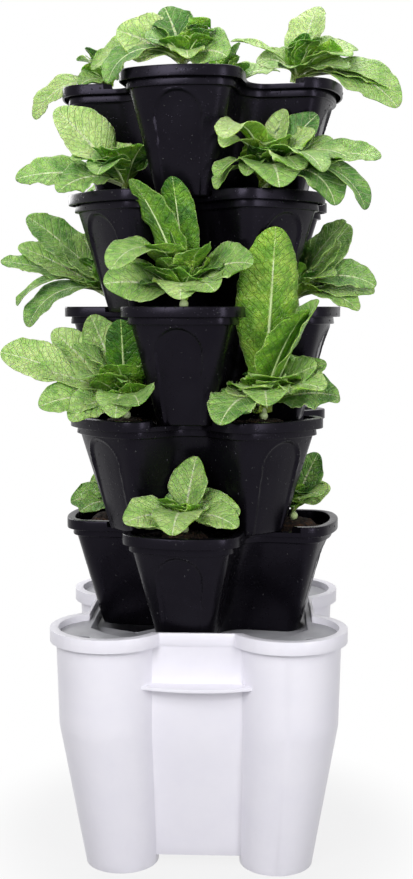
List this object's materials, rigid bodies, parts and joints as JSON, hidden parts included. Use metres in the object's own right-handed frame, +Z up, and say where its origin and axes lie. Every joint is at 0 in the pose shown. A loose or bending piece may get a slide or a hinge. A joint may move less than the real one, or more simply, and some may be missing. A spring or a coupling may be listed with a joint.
{
  "type": "vertical planter tower",
  "caption": "Self-watering vertical planter tower: stacked four-lobed black pots with lettuces on a white four-legged water reservoir.",
  "frame": {"origin": "on the tower's axis at floor level, the middle of the box's underside", "axes": "+Z up along the tower's axis, -Y to the front of the picture, +X to the right seen from the front"},
  "size_m": [0.6547, 0.5089, 1.3478],
  "materials": {
    "white_plastic": "satin white ABS moulding",
    "grey_plastic": "satin mid-grey ABS moulding",
    "black_plastic": "wet black polypropylene",
    "growing_medium": null,
    "lettuce_leaf": null,
    "pump_plastic": "moulded black ABS",
    "impeller_plastic": "moulded white acetal",
    "stainless_steel": "ground stainless steel",
    "black_rubber": "matt black rubber",
    "pipe_plastic": "plain white PVC pipe",
    "drip_plastic": "moulded black polypropylene"
  },
  "bodies": {
    "reservoir_base": {"reservoir": "white_plastic", "pump_housing": "pump_plastic", "pump_cover": "pump_plastic", "pump_strainer": "pump_plastic", "pump_shaft": "stainless_steel", "pump_feet": "black_rubber", "pump_cable_gland": "black_rubber", "riser_lower": "pipe_plastic", "riser_middle": "pipe_plastic", "riser_upper": "pipe_plastic", "coupling_lower": "pipe_plastic", "coupling_upper": "pipe_plastic"},
    "impeller": {"pump_impeller": "impeller_plastic"},
    "lid": {"reservoir_lid": "grey_plastic"},
    "tier_1": {"pot_1": "black_plastic", "growing_medium_1": "growing_medium", "lettuce_1_front": "lettuce_leaf", "lettuce_1_right": "lettuce_leaf", "lettuce_1_back": "lettuce_leaf", "lettuce_1_left": "lettuce_leaf"},
    "tier_2": {"pot_2": "black_plastic", "growing_medium_2": "growing_medium", "lettuce_2_front_right": "lettuce_leaf", "lettuce_2_back_right": "lettuce_leaf", "lettuce_2_back_left": "lettuce_leaf", "lettuce_2_front_left": "lettuce_leaf"},
    "tier_3": {"pot_3": "black_plastic", "growing_medium_3": "growing_medium", "lettuce_3_front": "lettuce_leaf", "lettuce_3_right": "lettuce_leaf", "lettuce_3_back": "lettuce_leaf", "lettuce_3_left": "lettuce_leaf"},
    "tier_4": {"pot_4": "black_plastic", "growing_medium_4": "growing_medium", "lettuce_4_front_right": "lettuce_leaf", "lettuce_4_back_right": "lettuce_leaf", "lettuce_4_back_left": "lettuce_leaf", "lettuce_4_front_left": "lettuce_leaf"},
    "tier_5": {"pot_5": "black_plastic", "growing_medium_5": "growing_medium", "lettuce_5_front": "lettuce_leaf", "lettuce_5_right": "lettuce_leaf", "lettuce_5_back": "lettuce_leaf", "lettuce_5_left": "lettuce_leaf"},
    "drip_top": {"drip_head": "drip_plastic", "drip_nozzles": "drip_plastic"}
  },
  "joints": [
    {"name": "impeller_spin", "type": "hinge", "parent": "reservoir_base", "child": "impeller", "pos_m": [0, 0, 0.06], "axis": [1, 0, 0], "continuous": true},
    {"name": "lid_lift", "type": "slide", "parent": "reservoir_base", "child": "lid", "axis": [0, 0, 1], "range_m": [0, 0.035]},
    {"name": "tier_1_lift", "type": "slide", "parent": "lid", "child": "tier_1", "axis": [0, 0, 1], "range_m": [0, 0.03]},
    {"name": "tier_2_lift", "type": "slide", "parent": "tier_1", "child": "tier_2", "axis": [0, 0, 1], "range_m": [0, 0.03]},
    {"name": "tier_3_lift", "type": "slide", "parent": "tier_2", "child": "tier_3", "axis": [0, 0, 1], "range_m": [0, 0.03]},
    {"name": "tier_4_lift", "type": "slide", "parent": "tier_3", "child": "tier_4", "axis": [0, 0, 1], "range_m": [0, 0.03]},
    {"name": "tier_5_lift", "type": "slide", "parent": "tier_4", "child": "tier_5", "axis": [0, 0, 1], "range_m": [0, 0.03]},
    {"name": "drip_lift", "type": "slide", "parent": "tier_5", "child": "drip_top", "axis": [0, 0, 1], "range_m": [0, 0.02]}
  ]
}
